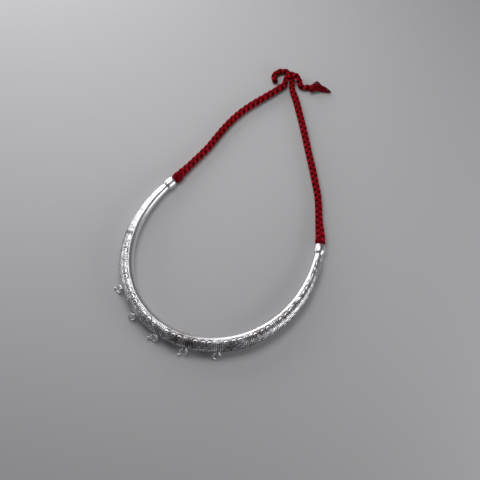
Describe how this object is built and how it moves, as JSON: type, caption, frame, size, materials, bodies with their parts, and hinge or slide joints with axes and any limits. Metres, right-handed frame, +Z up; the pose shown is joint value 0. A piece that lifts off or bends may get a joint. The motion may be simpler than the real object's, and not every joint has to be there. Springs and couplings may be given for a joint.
{
  "type": "hasli collar",
  "caption": "Rigid horseshoe neck collar of hollow silver tube tapering to beaded ends, with small open rings along its front edge and a knotted red braided cord.",
  "frame": {"origin": "on the surface that the collar lies on, under the middle of the box round the collar and its rings, without the cord", "axes": "+Z up from that surface, -Y towards the thick front of the collar, +Y towards its open end and the cord, +X to the wearer's left when the front faces down the page"},
  "size_m": [0.1434, 0.2545, 0.0109],
  "materials": {
    "chased_silver": "chased and burnished silver with dark tarnish in the recesses",
    "silver_wire": "plain silver wire",
    "red_braid": "plump round braid"
  },
  "bodies": {
    "root": {"collar": "chased_silver", "jump_ring_1": "silver_wire", "jump_ring_2": "silver_wire", "jump_ring_3": "silver_wire", "jump_ring_4": "silver_wire", "jump_ring_5": "silver_wire", "cord_left": "red_braid", "cord_right": "red_braid", "knot": "red_braid"}
  },
  "joints": []
}
